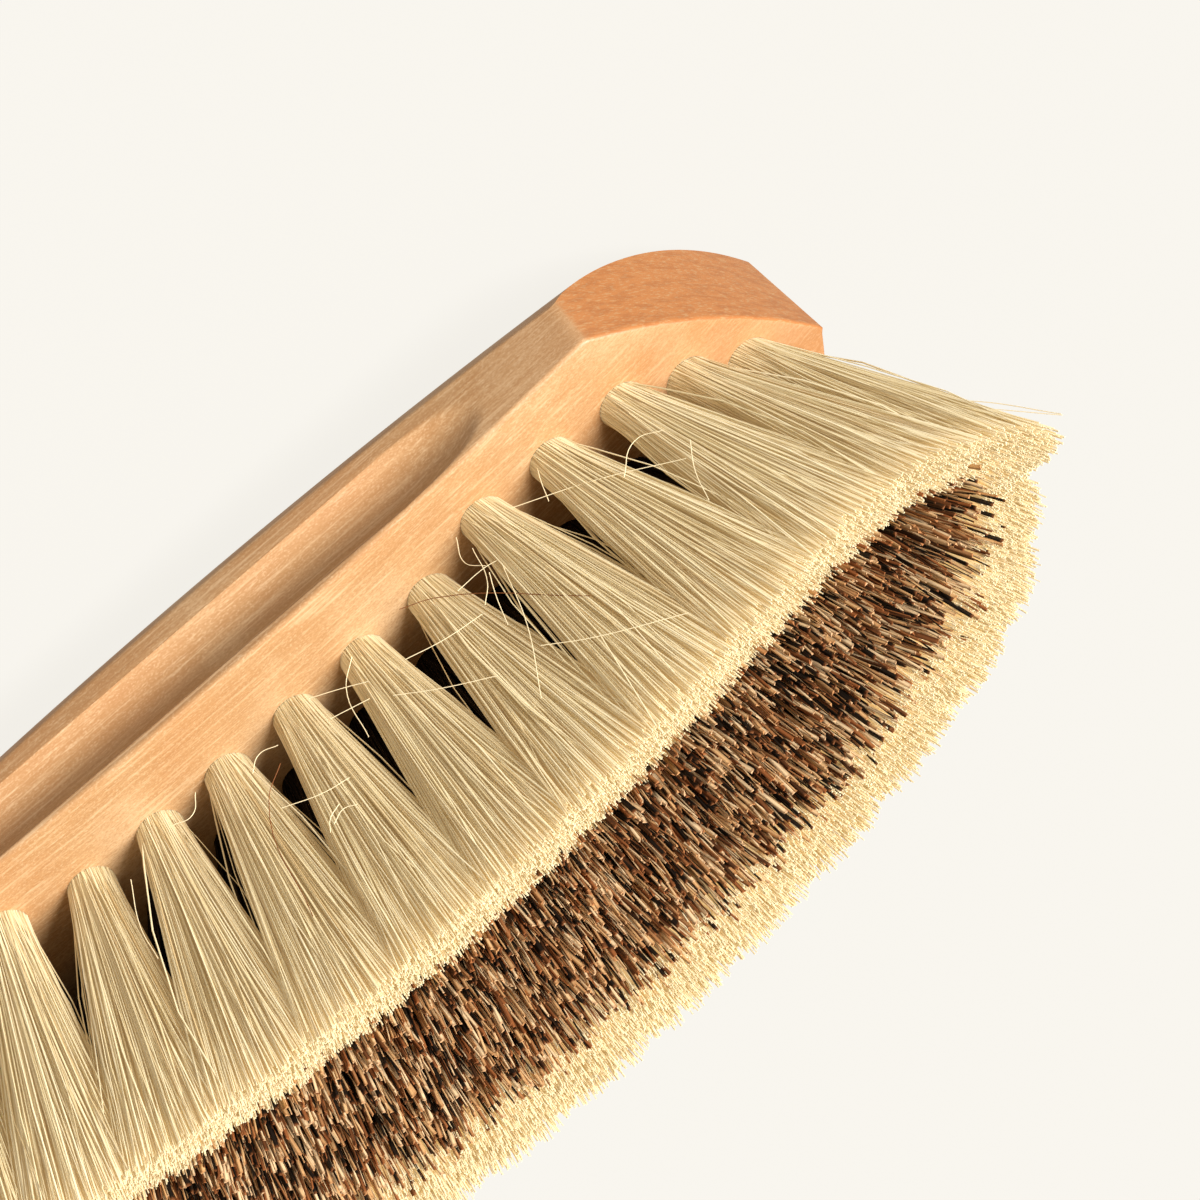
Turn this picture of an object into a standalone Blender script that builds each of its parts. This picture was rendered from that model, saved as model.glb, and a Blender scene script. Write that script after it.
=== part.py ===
"""Dandy brush: a wooden stock with finger grooves and pointed ends, filled with tufts of bristle.

The brush lies on its domed back with the bristles up. X runs along the stock, Y across it
and Z up from the lowest point of the back.
"""
import math

import bmesh
import bpy
from mathutils import Matrix, Vector

MM = 0.001
UP = Vector((0, 0, 1))

# Stock
STOCK_LENGTH = 190 * MM
STOCK_WIDTH = 64 * MM
CROWN_THICKNESS = 30 * MM
PROW_THICKNESS = 18.8 * MM
FACE_BOW = 6.5 * MM
WALL_HEIGHT = 15.8 * MM
CORNER_WALL_HEIGHT = 8.8 * MM
DOME_ROUNDNESS_SHARE = 0.76
WALL_FLOOR_SHARE = 0.2
END_DEPTH = 25.4 * MM
END_BULGE = 2.5 * MM
PROW_LEAN = 1.9 * MM
ARRIS_WIDTH = 0.5 * MM
ARRIS_ANGLE = math.radians(60)

# Finger grooves
GROOVE_HEIGHT = 10.5 * MM
GROOVE_DEPTH = 3 * MM
GROOVE_DROP = 7 * MM
GROOVE_STRAIGHT = 70 * MM
GROOVE_RUNOUT = 17.5 * MM

# Tuft holes and the fit of a tuft in its hole
HOLE_DIAMETER = 7 * MM
HOLE_DEPTH = 11 * MM
SEAT_CLEARANCE = 0.3 * MM
ROOT_STANDOUT = 2 * MM
OVERRUN = 2 * MM

# Filling
BRISTLE_TRIM = 51.7 * MM
TRIM_BOW = 18.3 * MM
TIP_OVERHANG = 12.5 * MM
TIP_INSET = 7.8 * MM
BORDER_BAND = 7.2 * MM
CENTRE_ROW_SPACING = 11.4 * MM
BAND_GAP = 0.6 * MM
STRAND_FILL_SHARE = 0.74
NOSE_SHARPNESS = 8
NOSE_SHARE = 0.985
BORDER_GRID = (4, 2)
CENTRE_GRID = (2, 4)

# Border holes of one quarter, from the middle to the prow: shares of half the length and half the width
BORDER_HOLE_SHARES = [
    (0.065, 0.531),
    (0.194, 0.531),
    (0.324, 0.531),
    (0.456, 0.656),
    (0.585, 0.625),
    (0.711, 0.566),
    (0.805, 0.384),
    (0.888, 0.194),
]
END_HOLES = 3
CENTRE_END_HOLE_SHARE = 0.755

# Fineness of the curved surfaces
LENGTH_STEPS = 15
WIDTH_STEPS = 23
ARC_STEPS = 7
RUNOUT_STEPS = 6
HOLE_SIDES = 12
GROOVE_RESOLUTION = 7
FLAT_ANGLE = math.radians(0.05)
WELD_DISTANCE = 0.01 * MM

# Places worked out from the sizes
HALF_LENGTH = STOCK_LENGTH / 2
HALF_WIDTH = STOCK_WIDTH / 2
CORNER_X = HALF_LENGTH - END_DEPTH
ROOT_RADIUS = HOLE_DIAMETER / 2 - SEAT_CLEARANCE
TIP_FIELD_LENGTH = STOCK_LENGTH + 2 * TIP_OVERHANG
TIP_FIELD_WIDTH = STOCK_WIDTH - 2 * TIP_INSET
HALF_BAND = BORDER_BAND / 2
BAND_HALF_LENGTH = TIP_FIELD_LENGTH / 2 - HALF_BAND
BAND_HALF_WIDTH = TIP_FIELD_WIDTH / 2 - HALF_BAND
CENTRE_HALF_LENGTH = BAND_HALF_LENGTH - HALF_BAND - BAND_GAP
CENTRE_HALF_WIDTH = BAND_HALF_WIDTH - HALF_BAND - BAND_GAP


def clear_scene():
    """Remove every object that the file starts with."""
    for thing in list(bpy.data.objects):
        bpy.data.objects.remove(thing)


def make_collection(name):
    """Add a collection to the scene."""
    collection = bpy.data.collections.new(name)
    bpy.context.scene.collection.children.link(collection)
    return collection


def make_material(name, color, roughness):
    """Make a plain non-metal material."""
    material = bpy.data.materials.new(name)
    material.use_nodes = True
    shader = material.node_tree.nodes["Principled BSDF"]
    shader.inputs["Base Color"].default_value = (*color, 1)
    shader.inputs["Roughness"].default_value = roughness
    shader.inputs["Metallic"].default_value = 0
    return material


def mesh_object(name, bm, collection, matrix=None):
    """Turn a bmesh into a named object with its faces pointing out."""
    bmesh.ops.recalc_face_normals(bm, faces=bm.faces)
    mesh = bpy.data.meshes.new(name)
    bm.to_mesh(mesh)
    bm.free()
    thing = bpy.data.objects.new(name, mesh)
    if matrix is not None:
        thing.matrix_world = matrix
    collection.objects.link(thing)
    return thing


def make_cutter(thing):
    """Mark an object as a cutter."""
    thing.hide_render = True
    thing.display_type = "WIRE"
    return thing


def add_boolean(thing, cutter, operation):
    """Cut or trim a piece with another shape."""
    modifier = thing.modifiers.new(cutter.name, "BOOLEAN")
    modifier.operation = operation
    modifier.solver = "EXACT"
    modifier.object = cutter


def mesh_from_curve(curve_object, collection):
    """Make a closed mesh of a curve object and remove the curve."""
    name = curve_object.name
    bpy.context.view_layer.update()
    graph = bpy.context.evaluated_depsgraph_get()
    mesh = bpy.data.meshes.new_from_object(curve_object.evaluated_get(graph))
    matrix = curve_object.matrix_world.copy()
    bpy.data.objects.remove(curve_object)
    bm = bmesh.new()
    bm.from_mesh(mesh)
    bpy.data.meshes.remove(mesh)
    bmesh.ops.remove_doubles(bm, verts=bm.verts, dist=WELD_DISTANCE)
    return mesh_object(name, bm, collection, matrix)


def poly_curve(name, points, dimensions, cyclic, collection):
    """Make a curve object through points in straight steps."""
    curve = bpy.data.curves.new(name, "CURVE")
    curve.dimensions = dimensions
    spline = curve.splines.new("POLY")
    spline.points.add(len(points) - 1)
    for spline_point, point in zip(spline.points, points):
        spline_point.co = (*point, 1)
    spline.use_cyclic_u = cyclic
    thing = bpy.data.objects.new(name, curve)
    collection.objects.link(thing)
    return thing


# The stock

def face_height(x):
    """Height of the bowed tuft face at a place along the stock."""
    return CROWN_THICKNESS - FACE_BOW * (x / HALF_LENGTH) ** 2


def trim_height(x):
    """Height of the cut tips at a place along the brush."""
    return CROWN_THICKNESS + BRISTLE_TRIM - TRIM_BOW * (2 * x / TIP_FIELD_LENGTH) ** 2


def stock_thickness(x, y):
    """Thickness of the stock under a point of its tuft face."""
    crown_fall = (CROWN_THICKNESS - PROW_THICKNESS) * (x / HALF_LENGTH) ** 2
    wall_fall = (WALL_HEIGHT - CORNER_WALL_HEIGHT) * (x / CORNER_X) ** 2
    crown = CROWN_THICKNESS - crown_fall
    wall = max(WALL_HEIGHT - wall_fall, crown * WALL_FLOOR_SHARE)
    across = min(abs(y) / HALF_WIDTH, 1)
    return wall + (crown - wall) * (1 - across ** 2) ** DOME_ROUNDNESS_SHARE


def domed_block(collection):
    """The stock before its ends are shaped: a bowed tuft face over a back domed both ways."""
    bm = bmesh.new()
    bmesh.ops.create_grid(bm, x_segments=LENGTH_STEPS, y_segments=WIDTH_STEPS, size=1)
    for vert in bm.verts:
        x = vert.co.x * (HALF_LENGTH + OVERRUN)
        y = HALF_WIDTH * math.sin(vert.co.y * math.pi / 2)
        vert.co = (x, y, face_height(x) - stock_thickness(x, y))
    raised = bmesh.ops.extrude_face_region(bm, geom=bm.faces[:])["geom"]
    for vert in raised:
        if isinstance(vert, bmesh.types.BMVert):
            vert.co.z = face_height(vert.co.x)
    bmesh.ops.dissolve_limit(bm, angle_limit=FLAT_ANGLE, verts=bm.verts, edges=bm.edges)
    return mesh_object("stock", bm, collection)


def end_arc():
    """Points of one bowed end face in plan, from outside the corner to the prow."""
    corner = Vector((CORNER_X, HALF_WIDTH))
    prow = Vector((HALF_LENGTH, 0))
    chord = prow - corner
    radius = (chord.length ** 2 / 4 + END_BULGE ** 2) / (2 * END_BULGE)
    inward = Vector((chord.y, -chord.x)).normalized()
    centre = (corner + prow) / 2 + inward * (radius - END_BULGE)
    start = corner - centre
    sweep = start.angle_signed(prow - centre)
    points = []
    for step in range(-1, ARC_STEPS + 1):
        turned = Matrix.Rotation(-sweep * step / ARC_STEPS, 2) @ start
        points.append(centre + turned)
    return points


def plan_outline():
    """Outline of the stock from above, with a sharp prow at each end."""
    arc = end_arc()
    right = [(p.x, p.y) for p in arc] + [(p.x, -p.y) for p in reversed(arc[:-1])]
    left = [(-x, -y) for x, y in right]
    return right + left


def plan_prism(collection):
    """The plan outline as a block, drawn in towards the back at the prow."""
    middle = CROWN_THICKNESS / 2
    outline = [(x, y, 0) for x, y in plan_outline()]
    curve_object = poly_curve("plan_outline", outline, "2D", True, collection)
    curve_object.data.fill_mode = "BOTH"
    curve_object.data.extrude = middle + OVERRUN
    curve_object.location.z = middle
    prism = mesh_from_curve(curve_object, collection)
    for vert in prism.data.vertices:
        below_face = face_height(HALF_LENGTH) - middle - vert.co.z
        past_corner = max((abs(vert.co.x) - CORNER_X) / END_DEPTH, 0)
        drawn_in = PROW_LEAN * past_corner * below_face / PROW_THICKNESS
        vert.co.x -= drawn_in * math.copysign(1, vert.co.x)
    return make_cutter(prism)


def groove_path(side):
    """Centre line of the round cutter that leaves one finger groove and lifts out at both ends."""
    radius = groove_radius()
    run_radius = (GROOVE_RUNOUT ** 2 + GROOVE_DEPTH ** 2) / (2 * GROOVE_DEPTH)
    level = HALF_WIDTH + radius - GROOVE_DEPTH
    last_turn = math.acos(1 - (GROOVE_DEPTH + OVERRUN) / run_radius)
    half = []
    for step in range(RUNOUT_STEPS + 1):
        turn = last_turn * step / RUNOUT_STEPS
        x = GROOVE_STRAIGHT / 2 + run_radius * math.sin(turn)
        y = level + run_radius * (1 - math.cos(turn))
        half.append((x, side * y, CROWN_THICKNESS - GROOVE_DROP))
    return [(-x, y, z) for x, y, z in reversed(half)] + half


def groove_radius():
    """Radius of the cove whose height and depth are given."""
    return ((GROOVE_HEIGHT / 2) ** 2 + GROOVE_DEPTH ** 2) / (2 * GROOVE_DEPTH)


def groove_cutter(name, side, collection):
    """Round bar along one side of the stock."""
    bar = poly_curve(name, groove_path(side), "3D", False, collection)
    bar.data.bevel_depth = groove_radius()
    bar.data.bevel_resolution = GROOVE_RESOLUTION
    bar.data.use_fill_caps = True
    return make_cutter(mesh_from_curve(bar, collection))


def hole_cutter(frames, collection):
    """All the drills in one cutter, one along each tuft's axis."""
    bm = bmesh.new()
    radius = HOLE_DIAMETER / 2 / math.cos(math.pi / HOLE_SIDES)
    length = HOLE_DEPTH + 2 * OVERRUN
    for frame in frames:
        centre = Matrix.Translation(UP * (length / 2 - HOLE_DEPTH))
        bmesh.ops.create_cone(
            bm, cap_ends=True, segments=HOLE_SIDES, radius1=radius, radius2=radius,
            depth=length, matrix=frame @ centre)
    return make_cutter(mesh_object("tuft_holes", bm, collection))


def round_arrises(thing):
    """Take the sharpness off the long arrises and the rims of the ends."""
    bevel = thing.modifiers.new("arrises", "BEVEL")
    bevel.width = ARRIS_WIDTH
    bevel.segments = 1
    bevel.limit_method = "ANGLE"
    bevel.angle_limit = ARRIS_ANGLE


def build_stock(frames, parts, cutters, material):
    """Shape the stock, then groove and drill it."""
    stock = domed_block(parts)
    add_boolean(stock, plan_prism(cutters), "INTERSECT")
    round_arrises(stock)
    add_boolean(stock, groove_cutter("near_groove", -1, cutters), "DIFFERENCE")
    add_boolean(stock, groove_cutter("far_groove", 1, cutters), "DIFFERENCE")
    add_boolean(stock, hole_cutter(frames, cutters), "DIFFERENCE")
    stock.data.materials.append(material)


# The places of the tufts

def quarter_holes():
    """Border holes of one quarter, from the middle to the prow."""
    return [Vector((HALF_LENGTH * along, HALF_WIDTH * across)) for along, across in BORDER_HOLE_SHARES]


def border_holes():
    """Border holes all round the stock, clockwise from the middle of the far side."""
    quarter = quarter_holes()
    ring = list(quarter)
    ring += [Vector((p.x, -p.y)) for p in reversed(quarter)]
    ring += [Vector((-p.x, -p.y)) for p in quarter]
    ring += [Vector((-p.x, p.y)) for p in reversed(quarter)]
    return ring


def nose_width(x, half_length, half_width):
    """Half the width of a long field with rounded ends at a place along it."""
    return half_width * math.sqrt(max(1 - abs(x / half_length) ** NOSE_SHARPNESS, 0))


def lengthwise_spread():
    """How far the tips fan out along the brush, as a factor of a hole's distance from the middle."""
    return BAND_HALF_LENGTH * NOSE_SHARE / quarter_holes()[-1].x


def border_tip(hole):
    """Middle of a border tuft's cut end, on the middle line of the band round the tips."""
    x = hole.x * lengthwise_spread()
    y = nose_width(x, BAND_HALF_LENGTH, BAND_HALF_WIDTH)
    return Vector((x, math.copysign(y, hole.y)))


def outward(start, end):
    """Direction square to the clockwise step from start to end, away from the brush."""
    step = (end - start).normalized()
    return Vector((-step.y, step.x))


def through_three(low, middle, high, u):
    """Smooth value through three values given at -1, 0 and 1."""
    return middle + (high - low) * (u / 2) + (low + high - middle * 2) * (u * u / 2)


def border_cell(index, tips):
    """Where a border tuft's strands end: a stretch of the band round the brush."""
    before = tips[index - 1]
    tip = tips[index]
    after = tips[(index + 1) % len(tips)]

    def cell(u, v):
        line = through_three((before + tip) / 2, tip, (tip + after) / 2, u)
        square = through_three(outward(before, tip), outward(before, after), outward(tip, after), u)
        return line + square * (v * HALF_BAND)

    return cell


def centre_cell(x_range, side_shares):
    """Where a centre tuft's strands end: a stretch of the field, between two shares of its half width."""

    def cell(u, v):
        x = x_range[0] + (x_range[1] - x_range[0]) * (u + 1) / 2
        share = side_shares[0] + (side_shares[1] - side_shares[0]) * (v + 1) / 2
        return Vector((x, share * nose_width(x, CENTRE_HALF_LENGTH, CENTRE_HALF_WIDTH)))

    return cell


def row_edges(places, end_edge):
    """Edges between the tips of one centre row, and the row's two ends."""
    middles = [(a + b) / 2 for a, b in zip(places, places[1:])]
    return [-end_edge] + middles + [end_edge]


def centre_tufts():
    """Hole and cell of each centre tuft: two staggered rows and one tuft at each end."""
    xs = [hole.x for hole in quarter_holes()]
    level = xs[:-END_HOLES]
    between = [(a + b) / 2 for a, b in zip(level, xs[1:])]
    near_xs = [-x for x in reversed(between)] + [0] + between
    far_xs = [-x for x in reversed(level)] + level
    end_x = CENTRE_END_HOLE_SHARE * HALF_LENGTH
    spread = lengthwise_spread()
    end_edge = (near_xs[-1] + end_x) / 2 * spread
    tufts = []
    for side, row in ((-1, near_xs), (1, far_xs)):
        edges = row_edges([x * spread for x in row], end_edge)
        sides = (min(side, 0), max(side, 0))
        for x, x_range in zip(row, zip(edges, edges[1:])):
            hole = Vector((x, side * CENTRE_ROW_SPACING / 2))
            tufts.append((hole, centre_cell(x_range, sides)))
    nose = CENTRE_HALF_LENGTH * NOSE_SHARE
    tufts.append((Vector((end_x, 0)), centre_cell((end_edge, nose), (-1, 1))))
    tufts.append((Vector((-end_x, 0)), centre_cell((-nose, -end_edge), (-1, 1))))
    return tufts


def tuft_frame(hole, cell):
    """Frame at a hole's mouth, with Z along the tuft's lean and X along its cell."""
    mouth = hole.to_3d() + UP * face_height(hole.x)
    spot = cell(0, 0)
    middle = spot.to_3d() + UP * trim_height(spot.x)
    axis = (middle - mouth).normalized()
    along = (cell(1, 0) - cell(-1, 0)).to_3d()
    along = (along - axis * along.dot(axis)).normalized()
    turn = Matrix((along, axis.cross(along), axis)).transposed()
    return Matrix.Translation(mouth) @ turn.to_4x4()


# The tufts

def on_disc(u, v):
    """Point of a unit disc for a point of the unit square."""
    return u * math.sqrt(1 - v * v / 2), v * math.sqrt(1 - u * u / 2)


def tuft_root(columns, rows):
    """Packed root of a tuft, its top divided into one face for each strand."""
    bm = bmesh.new()
    bmesh.ops.create_grid(bm, x_segments=columns, y_segments=rows, size=1)
    place = bm.verts.layers.float_vector.new("place")
    for vert in bm.verts:
        vert[place] = vert.co
        x, y = on_disc(vert.co.x, vert.co.y)
        vert.co = (x * ROOT_RADIUS, y * ROOT_RADIUS, ROOT_STANDOUT)
    tops = bm.faces[:]
    lowered = bmesh.ops.extrude_face_region(bm, geom=tops)["geom"]
    for vert in lowered:
        if isinstance(vert, bmesh.types.BMVert):
            vert.co.z = SEAT_CLEARANCE - HOLE_DEPTH
    bottoms = [face for face in lowered if isinstance(face, bmesh.types.BMFace)]
    bmesh.ops.dissolve_faces(bm, faces=bottoms)
    return bm, tops, place


def draw_strands(bm, tops, place, cell, frame):
    """Draw each top face out to its own part of the cell in the bowed trim surface."""
    to_local = frame.inverted()
    strands = bmesh.ops.extrude_discrete_faces(bm, faces=tops)["faces"]
    for strand in strands:
        middle = sum((vert[place] for vert in strand.verts), Vector()) / len(strand.verts)
        for vert in strand.verts:
            spot = middle.lerp(vert[place], STRAND_FILL_SHARE)
            tip = cell(spot.x, spot.y)
            vert.co = to_local @ (tip.to_3d() + UP * trim_height(tip.x))
    return len(strands)


def build_tuft(name, cell, frame, grid, parts, material):
    """One tuft: its root in the hole and the strands that fan out of it."""
    bm, tops, place = tuft_root(*grid)
    count = draw_strands(bm, tops, place, cell, frame)
    tuft = mesh_object(name, bm, parts, frame)
    tuft.data.materials.append(material)
    return count


def build_brush():
    """Build the stock and both kinds of tuft."""
    parts = make_collection("dandy_brush")
    cutters = make_collection("cutters")
    wood = make_material("beech", (0.62, 0.36, 0.17), 0.45)
    cream = make_material("cream_fibre", (0.68, 0.60, 0.38), 0.6)
    brown = make_material("brown_fibre", (0.20, 0.10, 0.05), 0.7)

    holes = border_holes()
    tips = [border_tip(hole) for hole in holes]
    border = [(hole, border_cell(index, tips)) for index, hole in enumerate(holes)]
    centre = centre_tufts()
    frames = [tuft_frame(hole, cell) for hole, cell in border + centre]
    build_stock(frames, parts, cutters, wood)

    strands = 0
    for number, (hole, cell) in enumerate(border, 1):
        frame = tuft_frame(hole, cell)
        strands += build_tuft(f"white_tuft_{number:02d}", cell, frame, BORDER_GRID, parts, cream)
    for number, (hole, cell) in enumerate(centre, 1):
        frame = tuft_frame(hole, cell)
        strands += build_tuft(f"brown_tuft_{number:02d}", cell, frame, CENTRE_GRID, parts, brown)
    print("strands", strands)


clear_scene()
build_brush()
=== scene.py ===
"""Looks of a dandy brush: smooth wooden stock, cream border bristles and a brown centre filling.

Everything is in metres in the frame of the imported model: X along the brush, Y across it and Z from
the domed back towards the bristle tips.
"""

import math

import bmesh
import bpy
from bpy.props import FloatProperty, FloatVectorProperty, IntProperty, PointerProperty
from mathutils import Matrix, Vector


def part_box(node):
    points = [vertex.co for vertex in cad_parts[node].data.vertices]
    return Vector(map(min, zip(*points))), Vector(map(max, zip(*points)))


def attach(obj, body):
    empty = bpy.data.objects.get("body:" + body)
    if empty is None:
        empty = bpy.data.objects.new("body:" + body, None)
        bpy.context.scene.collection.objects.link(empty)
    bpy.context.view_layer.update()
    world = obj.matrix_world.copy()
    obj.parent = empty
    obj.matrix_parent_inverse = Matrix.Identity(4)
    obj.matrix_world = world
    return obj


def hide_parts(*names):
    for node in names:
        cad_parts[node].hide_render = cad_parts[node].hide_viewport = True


bl_info = {
    "name": "Dandy Brush",
    "version": (1, 0, 0),
    "blender": (4, 5, 0),
    "location": "3D View > Sidebar > Brush",
    "description": "Builds a wooden dandy brush with fibre tufts",
    "category": "Object",
}

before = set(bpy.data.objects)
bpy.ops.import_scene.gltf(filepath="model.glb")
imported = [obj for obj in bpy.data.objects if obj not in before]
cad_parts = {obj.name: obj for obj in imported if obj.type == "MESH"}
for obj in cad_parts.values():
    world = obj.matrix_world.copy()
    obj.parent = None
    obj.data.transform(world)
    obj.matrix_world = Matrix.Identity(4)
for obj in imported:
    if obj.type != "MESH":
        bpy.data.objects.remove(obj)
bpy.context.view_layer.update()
STOCK_LOW, STOCK_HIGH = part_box("stock")

MM = 0.001
UP = Vector((0, 0, 1))
BODY = "root"

# Border holes of one quarter, from the middle to the prow: shares of half the length and half the width
BORDER_HOLE_SHARES = [
    (0.065, 0.531),
    (0.194, 0.531),
    (0.324, 0.531),
    (0.456, 0.656),
    (0.585, 0.625),
    (0.711, 0.566),
    (0.805, 0.384),
    (0.888, 0.194),
]

# Border holes of a quarter past the last staggered brown tuft, and the place of the brown tuft of each end
END_HOLES = 3
CENTRE_END_HOLE_SHARE = 0.755

# Change from the shorter end tuft to the longer one: its width as a share of the cream band, and how far
# it has come at the middle of the brush
END_CHANGE_SHARE = 0.8
END_MIDDLE_SHARE = 0.6

# Powers with which the ends of the field stand out, and the corners of a tuft fall back
END_POWER = 8
CORNER_POWER = 4

# Loose fibres in front of the near flank: start, middle and end in mm along the brush and up from its back
LOOSE_CREAM = [
    ((-47, 32), (-59, 39), (-70, 47)),
    ((-35, 38), (-40, 38), (-43, 39)),
    ((-42, 40), (-40, 52), (-36, 64)),
    ((-24, 42), (-30, 44), (-36, 45)),
    ((-40, 57), (-46, 62), (-58, 70)),
    ((-62, 42), (-66, 38), (-70, 40)),
    ((-72, 45), (-70, 50), (-69, 56)),
    ((-39, 30), (-38, 35), (-40, 38)),
    ((-40, 34), (-39, 41), (-37, 44)),
    ((-40, 40), (-39, 44), (-38, 50)),
    ((-55, 25), (-53, 31), (-52, 36)),
    ((2, 39), (0, 37), (-3, 38)),
    ((1, 48), (-5, 51), (-9, 52)),
    ((-4, 57), (-6, 56), (-8, 57)),
    ((-3, 58), (-4, 56), (-6, 55)),
    ((-18, 34), (-15, 38), (-14, 48)),
    ((-10, 35), (-15, 38), (-18, 40)),
    ((-11, 41), (-14, 42), (-17, 43)),
    ((15, 37), (12, 38), (10, 35)),
    ((-20, 46), (-26, 51), (-33, 56)),
    ((24, 39), (26, 47), (26, 54)),
]
LOOSE_BROWN = [
    ((-27, 33), (-32, 36), (-49, 55)),
    ((-2, 41), (2, 45), (5, 67)),
]

# Loose fibres at the shown prow, from their tuft outwards: along, across and up, in mm
LOOSE_PROW = [
    ((-95, -5, 46), (-104, -6, 57), (-111.2, -7, 69)),
    ((-94, -4, 44), (-104, -3, 56), (-111.4, -3, 66)),
]

# Loose fibres: half thickness as a share of a cream fibre's thickness, distance from the flank and from one
# layer to the next, and the reach and tone that set their colour, the reach also setting their painted glow
# and painted shade
LOOSE_THICKNESS_SHARE = 0.28
LOOSE_STAND_OFF = 2 * MM
LOOSE_LAYER = 0.25 * MM
LOOSE_LAYERS = 5
LOOSE_REACH = 0.9
CREAM_TONE = 0.8
BROWN_TONE = 0.38

# Fineness of the meshes: steps, points and sides
MIDDLE_STEPS = 116
END_STEPS = 44
FACE_POINTS = 10
ARRIS_POINTS = 4
LAND_POINTS = 6
COVE_POINTS = 22
DOME_POINTS = 26
HOLE_SIDES = 28
PATCH_COLUMNS = 8
PATCH_ROWS = 6
FIBRE_POINTS = 6
FIBRE_SIDES = 3
LOOSE_STEPS = 8

# Points nearer than WELD become one, faces thinner than SLIVER go, and edges past SHARP_ANGLE stay sharp
WELD = 0.01 * MM
SLIVER = 0.005 * MM
SHARP_ANGLE = math.radians(32)

# How far each drill starts above its hole, and the least flat of the tuft face as a share of its width
DRILL_ABOVE = 4 * MM
LEAST_FACE_SHARE = 0.2

# Growth of the fibres: least gap between two as a share of the mean one, points tried for each fibre,
# power that gathers a fibre's points near its hole, and strength of the shared tone
PACKING = 0.71
TRIES = 2.2
GATHERING = 1.5
SHARED_TONE = 3

# Inputs of the fibre tree that take the setting of the same name, and fields that only the growth needs
FIBRE_INPUTS = ("Thickness", "Thickness Spread", "Flatness", "Bow", "Scatter", "Short By", "Long By",
                "Raggedness", "Stray Share", "Stray Reach", "Clumping", "Waist")
SPARE_FIELDS = ("mouth", "foot", "side", "tip", "sway", "turn", "width")

# Settings of the brown fibres that differ from those of the cream ones
BROWN_FIBRES = {
    "count": 540,
    "thickness": 0.58 * MM,
    "thickness_spread": 0.7,
    "flatness": 0.4,
    "bow": 2 * MM,
    "scatter": 2.1 * MM,
    "short_by": 9 * MM,
    "raggedness": 0,
    "long_by": 0.5 * MM,
    "stray_share": 0,
    "spread": 1.12,
    "splay": 0.9,
    "inward": 0,
    "clumping": 0.65,
    "clump_size": 2.6 * MM,
    "waist": 0,
    "tip_drop": 1.2 * MM,
    "edge_rise": 0,
    "scallop": 0,
    "lobe": 0,
    "seed": 2,
}

# Wood patterns: repeats in a metre along the brush, across it and up
STREAKS = (45, 1900, 1900)
BANDS = (6, 90, 90)
FLECKS = (240, 2600, 2600)
GRIT = (2200, 5200, 5200)
RIPPLES = (300, 300, 900)
TICKS = (1300, 1300, 3600)
CLOUDS = (45, 45, 45)

# Painted glow: emission on the cream fibres everywhere, in place of light coming through them, and how much
# more at the tufts' outer rim
PAINTED_GLOW = 0.32
PAINTED_RIM_GLOW = 0.35

# Half the side of the floor, in metres
FLOOR_HALF = 4


def length_property(name, description, default):
    """A length that the sidebar shows in the scene's units."""
    return FloatProperty(name=name, description=description, default=default, unit="LENGTH", precision=5)


def number_property(name, description, default):
    """A plain number."""
    return FloatProperty(name=name, description=description, default=default)


def colour_property(name, description, default):
    """A colour, in the linear values that shaders use."""
    return FloatVectorProperty(
        name=name, description=description, default=default, subtype="COLOR", size=3, min=0, max=1)


class StockSizes(bpy.types.PropertyGroup):
    """Sizes of the wooden stock."""

    length: length_property("Length", "From prow to prow", STOCK_HIGH.x - STOCK_LOW.x)
    width: length_property("Width", "Across the two flat sides", STOCK_HIGH.y - STOCK_LOW.y)
    crown: length_property("Crown", "Thickness at the middle of the brush", 30 * MM)
    prow: length_property("Prow", "Thickness at each prow", 18.8 * MM)
    face_bow: length_property("Face bow", "Fall of the tuft face from the middle to a prow", 6.5 * MM)
    wall: length_property("Wall", "Height of the flat side at the middle", 15.8 * MM)
    corner_wall: length_property("Corner wall", "Height of the flat side at a corner", 8.8 * MM)
    end_depth: length_property("End depth", "From a corner to the prow, along the brush", 25.4 * MM)
    end_bulge: length_property("End bulge", "How far each end face bows out", 2.5 * MM)
    prow_lean: length_property("Prow lean", "How far the prow is drawn in at the back", 1.9 * MM)
    arris: length_property("Arris", "Radius of the rounded edge of the tuft face", 0.7 * MM)
    corner_ease: length_property("Corner ease", "Softness of the upright corners", 0.5 * MM)
    dome_roundness: number_property("Dome roundness", "Power of the back's curve across the brush", 0.76)
    wall_floor: number_property("Least wall", "Least height of a wall as a share of the crown", 0.2)
    groove_height: length_property("Groove height", "Height of a finger groove", 10.5 * MM)
    groove_depth: length_property("Groove depth", "Depth of a finger groove", 3 * MM)
    groove_drop: length_property("Groove drop", "From the face's middle down to the groove's middle", 7 * MM)
    groove_straight: length_property("Groove straight", "Length of full depth", 70 * MM)
    groove_runout: length_property("Groove run out", "Length over which a groove lifts out", 17.5 * MM)
    groove_ease: length_property("Groove ease", "Softness of the groove's edges", 0.22 * MM)


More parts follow.
